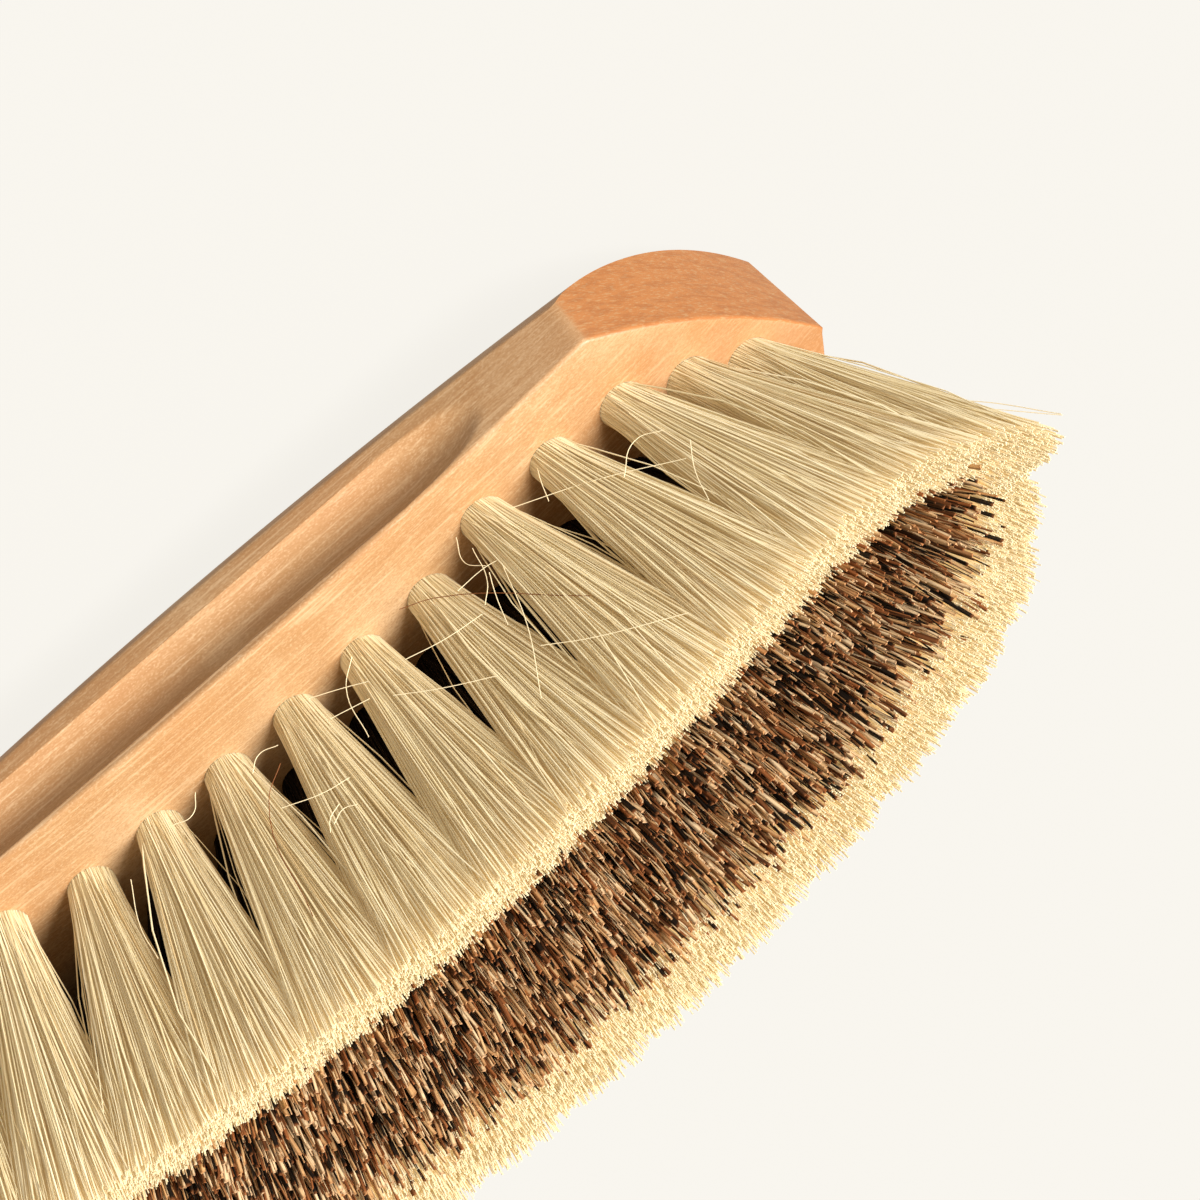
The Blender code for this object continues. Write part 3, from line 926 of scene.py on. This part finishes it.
def fibre_sway(tree, source):
    """How far and which way each fibre bows out, the stray ones further."""
    chance = random_node(tree, source, 1, 0.0, 1.0)
    strays = math_node(tree, "LESS_THAN", chance, source["Stray Share"])
    reach = plus(tree, 1.0, times(tree, strays, source["Stray Reach"]))
    sway = random_node(tree, source, 4, (-1, -1, -0.3), (1, 1, 0.3))
    return vector_node(tree, "SCALE", sway, times(tree, source["Bow"], reach))


def fibre_tone(tree, source, position):
    """Tone of each fibre: partly its own and partly shared with its neighbours."""
    inputs = {"Vector": position, "Scale": source["Clump Scale"], "Detail": 1}
    cloud = add_node(tree, "ShaderNodeTexNoise", inputs)
    shared = times(tree, minus(tree, cloud.outputs["Fac"], 0.5), SHARED_TONE)
    own = random_node(tree, source, 6, 0.0, 1.0)
    return plus(tree, own, times(tree, shared, source["Clumping"]), clamp=True)


def fibre_width(tree, source):
    """Width of each fibre."""
    spread = times(tree, random_node(tree, source, 5, -1.0, 1.0), source["Thickness Spread"])
    return times(tree, source["Thickness"], plus(tree, 1.0, spread))


def fibre_lines(tree, points):
    """A line on each point, with as many points as a fibre bends at."""
    line = add_node(tree, "GeometryNodeCurvePrimitiveLine", {})
    steps = add_node(tree, "GeometryNodeResampleCurve", {"Curve": line.outputs[0], "Count": FIBRE_POINTS})
    inputs = {"Points": points, "Instance": steps.outputs[0]}
    lines = add_node(tree, "GeometryNodeInstanceOnPoints", inputs)
    return add_node(tree, "GeometryNodeRealizeInstances", {0: lines.outputs[0]}).outputs[0]


def bent_place(tree, source, free):
    """Place of a fibre's point above its hole: bowed, and drawn in to the tuft's waist."""
    straight = mix_vector(tree, free, named_vector(tree, "mouth"), named_vector(tree, "tip"))
    bend = math_node(tree, "SINE", times(tree, free, math.pi))
    sway = vector_node(tree, "SCALE", named_vector(tree, "sway"), bend)
    drawn = times(tree, times(tree, minus(tree, free, 1.0), bend), source["Waist"])
    waist = vector_node(tree, "SCALE", named_vector(tree, "side"), drawn)
    return vector_node(tree, "ADD", vector_node(tree, "ADD", straight, sway), waist)


def laid_fibres(tree, source, lines):
    """The lines laid from the foot of the hole through its mouth to the tips, each at its own turn."""
    factor = add_node(tree, "GeometryNodeSplineParameter", {}).outputs["Factor"]
    in_hole = 1 / (FIBRE_POINTS - 1)
    even = math_node(tree, "DIVIDE", minus(tree, factor, in_hole), 1 - in_hole, clamp=True)
    free = math_node(tree, "POWER", even, GATHERING)
    out_of_hole = times(tree, factor, FIBRE_POINTS - 1, clamp=True)
    place = mix_vector(tree, out_of_hole, named_vector(tree, "foot"), bent_place(tree, source, free))
    laid = add_node(tree, "GeometryNodeSetPosition", {"Geometry": lines, "Position": place})
    curves = store(tree, laid.outputs[0], "reach", free)
    inputs = {"Curve": curves, "Tilt": named(tree, "turn")}
    return add_node(tree, "GeometryNodeSetCurveTilt", inputs).outputs[0]


def fibre_skin(tree, source, curves):
    """Closed skin along each fibre."""
    inputs = {"Resolution": FIBRE_SIDES, "Radius": 1}
    outline = add_node(tree, "GeometryNodeCurvePrimitiveCircle", inputs)
    flatten = add_node(tree, "ShaderNodeCombineXYZ", {0: 1, 1: source["Flatness"], 2: 1})
    inputs = {"Geometry": outline.outputs[0], "Scale": flatten.outputs[0]}
    flat = add_node(tree, "GeometryNodeTransform", inputs)
    return add_node(tree, "GeometryNodeCurveToMesh", {
        "Curve": curves,
        "Profile Curve": flat.outputs[0],
        "Scale": times(tree, named(tree, "width"), 0.5),
        "Fill Caps": True,
    }).outputs[0]


def fibre_tree():
    """Geometry Nodes tree that grows a tuft's fibres from its hole to its patch of the trim."""
    tree = bpy.data.node_groups.new("tuft_fibres", "GeometryNodeTree")
    tree.interface.new_socket("Geometry", in_out="OUTPUT", socket_type="NodeSocketGeometry")
    inputs = {name: tree_input(tree, name, name) for name in ("Geometry", "Material")}
    inputs["Seed"] = tree_input(tree, "Seed", "Int")
    for name in (*FIBRE_INPUTS, "Spacing", "Clump Scale"):
        inputs[name] = tree_input(tree, name, "Float")
    source = add_node(tree, "NodeGroupInput", {}).outputs
    position = add_node(tree, "GeometryNodeInputPosition", {}).outputs[0]
    points = scattered_points(tree, source)
    points = store(tree, points, "tip", fibre_tip(tree, source, position))
    points = store(tree, points, "sway", fibre_sway(tree, source))
    points = store(tree, points, "tone", fibre_tone(tree, source, position))
    points = store(tree, points, "turn", random_node(tree, source, 7, 0.0, math.tau))
    points = store(tree, points, "width", fibre_width(tree, source))
    fibres = laid_fibres(tree, source, fibre_lines(tree, points))
    done = add_node(tree, "GeometryNodeRealizeInstances", {0: fibre_skin(tree, source, fibres)})
    finish = add_node(tree, "GeometryNodeSetMaterial", {
        "Geometry": done.outputs[0],
        "Material": source["Material"],
    })
    add_node(tree, "NodeGroupOutput", {"Geometry": finish.outputs[0]})
    return tree, inputs


def on_disc(u, v):
    """Point of a unit disc for a point of the unit square."""
    return u * math.sqrt(1 - v * v / 2), v * math.sqrt(1 - u * u / 2)


def tip_place(stock, filling, fibres, spot, u, v):
    """Place of the tips at a spot of the field, u and v of the way across their tuft's stretch of it."""
    flare = (abs(spot.x) / half_field(stock, filling)[0]) ** END_POWER
    longer = end_share(filling, spot)
    height = trim_height(stock, filling, spot.x) + flare * longer * filling.end_lift
    height += fibres.edge_rise * (v + 1) / 2 - fibres.tip_drop - fibres.scallop * u ** CORNER_POWER
    shift = flare * (longer * filling.end_flare - (1 - longer) * filling.end_recess)
    spot.x += shift * math.copysign(1, spot.x)
    return spot.to_3d() + UP * height


def tuft_patch(stock, filling, fibres, turn, cell):
    """Patch of the trim where a tuft ends, which knows where each point comes from in the hole."""
    bm = bmesh.new()
    bmesh.ops.create_grid(bm, x_segments=PATCH_COLUMNS, y_segments=PATCH_ROWS, size=1)
    layers = bm.verts.layers
    mouth, foot, side = (layers.float_vector.new(name) for name in ("mouth", "foot", "side"))
    inner = layers.float.new("inner")
    radius = filling.hole_diameter / 2 - fibres.thickness / 3
    for vert in bm.verts:
        u, v = vert.co.x, vert.co.y
        x, y = on_disc(u, v)
        vert[mouth] = turn @ Vector((x * radius, y * radius, 0))
        vert[foot] = turn @ Vector((x * radius, y * radius, filling.hole_clearance - filling.hole_depth))
        vert[side] = turn.to_3x3() @ Vector((x, y, 0))
        vert[inner] = (1 - v) / 2
        fall_back = fibres.lobe * u ** CORNER_POWER * (v + 1) / 2
        spot = cell(u * fibres.spread, v * fibres.splay - fibres.inward - fall_back)
        vert.co = tip_place(stock, filling, fibres, spot, u, v)
    area = sum(face.calc_area() for face in bm.faces)
    return mesh_of(bm, "patch"), area


def grow_tuft(name, mesh, tree, values):
    """Grow one tuft's fibres on its patch and make them a plain mesh."""
    thing = link(name + "_patch", mesh)
    modifier = thing.modifiers.new("fibres", "NODES")
    modifier.node_group = tree
    for socket, value in values.items():
        modifier[socket] = value
    piece = made_plain(thing, name)
    for spare in [a.name for a in piece.data.attributes if a.name in SPARE_FIELDS]:
        piece.data.attributes.remove(piece.data.attributes[spare])
    return piece


def grow_tufts(scene, tufts, fibres, material, piece_name, node_name):
    """Grow all tufts of one kind, each in place of its node."""
    stock, filling = scene.brush_stock, scene.brush_filling
    tree, inputs = fibre_tree()
    values = {name: getattr(fibres, name.lower().replace(" ", "_")) for name in FIBRE_INPUTS}
    values["Clump Scale"] = 1 / fibres.clump_size
    values["Material"] = material
    for number, (hole, cell) in enumerate(tufts):
        mesh, area = tuft_patch(stock, filling, fibres, tuft_frame(stock, filling, hole, cell), cell)
        values["Spacing"] = math.sqrt(area / fibres.count) * PACKING
        values["Seed"] = fibres.seed * 1000 + number * 10
        sockets = {inputs[name]: value for name, value in values.items()}
        piece = grow_tuft(f"{piece_name}_{number + 1:02d}", mesh, tree, sockets)
        hand_over(piece, f"{node_name}_{number + 1:02d}")


# Operators

class BRUSH_OT_stock(bpy.types.Operator):
    """Build the drilled wooden stock"""

    bl_idname = "brush.stock"
    bl_label = "Stock"

    def execute(self, context):
        scene = context.scene
        stock, filling = scene.brush_stock, scene.brush_filling
        thing = link("stock_skin", stock_mesh(stock))
        cutter = self.drill(stock, filling)
        boolean = thing.modifiers.new("holes", "BOOLEAN")
        boolean.operation = "DIFFERENCE"
        boolean.solver = "EXACT"
        boolean.object = cutter
        piece = made_plain(thing, "wooden_stock")
        bpy.data.objects.remove(cutter)
        for polygon in piece.data.polygons:
            polygon.use_smooth = True
        piece.data.set_sharp_from_angle(angle=SHARP_ANGLE)
        piece.data.materials.clear()
        piece.data.materials.append(wood_material(scene.brush_colours))
        hand_over(piece, "stock")
        return {"FINISHED"}

    def drill(self, stock, filling):
        """All the drills in one cutter, one along each tuft's lean."""
        bm = bmesh.new()
        radius = filling.hole_diameter / 2 / math.cos(math.pi / HOLE_SIDES)
        length = filling.hole_depth + DRILL_ABOVE
        centre = Matrix.Translation(UP * (DRILL_ABOVE - length / 2))
        for hole, cell in border_tufts(stock, filling) + centre_tufts(stock, filling):
            turn = tuft_frame(stock, filling, hole, cell)
            bmesh.ops.create_cone(
                bm, cap_ends=True, segments=HOLE_SIDES, radius1=radius, radius2=radius, depth=length,
                matrix=turn @ centre)
        return link("drills", mesh_of(bm, "drills"))


class BRUSH_OT_border_tufts(bpy.types.Operator):
    """Grow the cream tufts of the border"""

    bl_idname = "brush.border_tufts"
    bl_label = "Border tufts"

    def execute(self, context):
        scene = context.scene
        tufts = border_tufts(scene.brush_stock, scene.brush_filling)
        grow_tufts(scene, tufts, scene.brush_cream, cream_material(scene.brush_colours),
                   "cream_bristles", "white_tuft")
        return {"FINISHED"}


class BRUSH_OT_centre_tufts(bpy.types.Operator):
    """Grow the brown tufts of the centre"""

    bl_idname = "brush.centre_tufts"
    bl_label = "Centre tufts"

    def execute(self, context):
        scene = context.scene
        tufts = centre_tufts(scene.brush_stock, scene.brush_filling)
        grow_tufts(scene, tufts, scene.brush_brown, brown_material(scene.brush_colours),
                   "brown_bristles", "brown_tuft")
        return {"FINISHED"}


class BRUSH_OT_loose_fibres(bpy.types.Operator):
    """Lay the loose fibres that have sprung out of the tufts"""

    bl_idname = "brush.loose_fibres"
    bl_label = "Loose fibres"

    def execute(self, context):
        scene = context.scene
        cream = cream_material(scene.brush_colours)
        brown = brown_material(scene.brush_colours)
        self.lay(scene, "loose_cream_fibres", LOOSE_CREAM + LOOSE_PROW, CREAM_TONE, cream, "cream_fibre")
        self.lay(scene, "loose_brown_fibres", LOOSE_BROWN, BROWN_TONE, brown, "brown_fibre")
        return {"FINISHED"}

    def lay(self, scene, name, fibres, tone, material, slot):
        """Make one piece of a list of loose fibres."""
        curve = bpy.data.curves.new(name, "CURVE")
        curve.dimensions = "3D"
        curve.resolution_u = LOOSE_STEPS
        curve.bevel_depth = scene.brush_cream.thickness * LOOSE_THICKNESS_SHARE
        curve.bevel_resolution = 0
        curve.use_fill_caps = True
        for number, fibre in enumerate(fibres):
            spline = curve.splines.new("BEZIER")
            spline.bezier_points.add(len(fibre) - 1)
            for point, place in zip(spline.bezier_points, fibre):
                point.co = self.placed(scene, number, place)
                point.handle_left_type = point.handle_right_type = "AUTO"
        piece = made_plain(link(name, curve), name)
        for field, value in (("tone", tone), ("reach", LOOSE_REACH)):
            values = piece.data.attributes.new(field, "FLOAT", "POINT")
            values.data.foreach_set("value", [value] * len(piece.data.vertices))
        piece.data.materials.clear()
        piece.data.materials.append(material)
        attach(piece, BODY)

    def placed(self, scene, number, place):
        """Point of a loose fibre: as given at the prow, and in front of the near flank elsewhere."""
        if len(place) == 3:
            return Vector(place) * MM
        x, z = Vector(place) * MM
        stand_off = LOOSE_STAND_OFF + LOOSE_LAYER * (number % LOOSE_LAYERS)
        return Vector((x, self.flank(scene, z) - stand_off, z))

    def flank(self, scene, z):
        """How far out the near border tufts' flank lies at a height."""
        stock, filling = scene.brush_stock, scene.brush_filling
        hole = -BORDER_HOLE_SHARES[0][1] * stock.width / 2 - filling.hole_diameter / 2
        tip = -half_field(stock, filling)[1]
        return hole + (tip - hole) * (z - stock.crown) / filling.trim


class BRUSH_OT_stage(bpy.types.Operator):
    """Set up the floor, the lights and the camera"""

    bl_idname = "brush.stage"
    bl_label = "Stage"

    def execute(self, context):
        scene = context.scene
        stage = scene.brush_stage
        self.add_floor(stage)
        self.add_key_light(stage)
        self.add_sky(scene, stage)
        self.add_camera(scene, stage)
        scene.view_settings.view_transform = "Standard"
        return {"FINISHED"}

    def add_floor(self, stage):
        """Pale floor under the brush."""
        bm = bmesh.new()
        bmesh.ops.create_grid(bm, x_segments=1, y_segments=1, size=FLOOR_HALF)
        floor = link("floor", mesh_of(bm, "floor"))
        material = new_material("pale_floor", {
            "Base Color": (*stage.floor_shade, 1),
            "Emission Color": (*stage.floor_colour, 1),
            "Emission Strength": 1,
            "Roughness": 0.9,
            "Specular IOR Level": 0.1,
        })[0]
        floor.data.materials.append(material)
        floor.visible_diffuse = False
        floor.visible_glossy = False

    def add_key_light(self, stage):
        """Soft main light, even all over the floor."""
        light = bpy.data.lights.new("key_light", "SUN")
        light.energy = stage.key_strength
        light.angle = stage.key_softness
        light.color = stage.key_colour
        lamp = link("key_light", light)
        lamp.rotation_euler = Vector(stage.key_direction).to_track_quat("Z", "Y").to_euler()

    def add_sky(self, scene, stage):
        """Even pale light from all round."""
        world = bpy.data.worlds.new("studio")
        world.use_nodes = True
        background = world.node_tree.nodes["Background"]
        background.inputs["Color"].default_value = (*stage.sky_colour, 1)
        background.inputs["Strength"].default_value = stage.sky
        scene.world = world

    def add_camera(self, scene, stage):
        """Camera at the photograph's angle."""
        camera = bpy.data.cameras.new("camera")
        camera.lens = stage.lens
        camera.sensor_width = 36
        camera.clip_start = 0.01
        thing = link("camera", camera)
        place = Vector(stage.camera_place)
        sight = (Vector(stage.look_at) - place).to_track_quat("-Z", "Y").to_matrix().to_4x4()
        thing.matrix_world = Matrix.Translation(place) @ sight @ Matrix.Rotation(stage.roll, 4, "Z")
        scene.camera = thing


class BRUSH_PT_panel(bpy.types.Panel):
    """Sidebar panel that lists the brush's pieces"""

    bl_idname = "BRUSH_PT_panel"
    bl_label = "Dandy Brush"
    bl_space_type = "VIEW_3D"
    bl_region_type = "UI"
    bl_category = "Brush"

    def draw(self, context):
        for operator in OPERATORS:
            self.layout.operator(operator.bl_idname)


SETTINGS = {
    "brush_stock": StockSizes,
    "brush_filling": FillingSizes,
    "brush_cream": FibreSizes,
    "brush_brown": FibreSizes,
    "brush_colours": BrushColours,
    "brush_stage": StageSettings,
}
OPERATORS = (
    BRUSH_OT_stock,
    BRUSH_OT_border_tufts,
    BRUSH_OT_centre_tufts,
    BRUSH_OT_loose_fibres,
    BRUSH_OT_stage,
)
GROUPS = (StockSizes, FillingSizes, FibreSizes, BrushColours, StageSettings)


def register():
    """Add the settings, the operators and the panel."""
    for group in GROUPS:
        bpy.utils.register_class(group)
    for name, group in SETTINGS.items():
        setattr(bpy.types.Scene, name, PointerProperty(type=group))
    for cls in (*OPERATORS, BRUSH_PT_panel):
        bpy.utils.register_class(cls)


def unregister():
    """Take them away again."""
    for cls in reversed((*OPERATORS, BRUSH_PT_panel)):
        bpy.utils.unregister_class(cls)
    for name in SETTINGS:
        delattr(bpy.types.Scene, name)
    for group in reversed(GROUPS):
        bpy.utils.unregister_class(group)


def set_brown_fibres(fibres):
    """Coarser, flatter and more uneven fibres for the centre."""
    for name, value in BROWN_FIBRES.items():
        setattr(fibres, name, value)


def main():
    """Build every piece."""
    register()
    set_brown_fibres(bpy.context.scene.brush_brown)
    bpy.ops.brush.stock()
    bpy.ops.brush.border_tufts()
    bpy.ops.brush.centre_tufts()
    bpy.ops.brush.loose_fibres()
    bpy.ops.brush.stage()


if __name__ == "__main__":
    main()
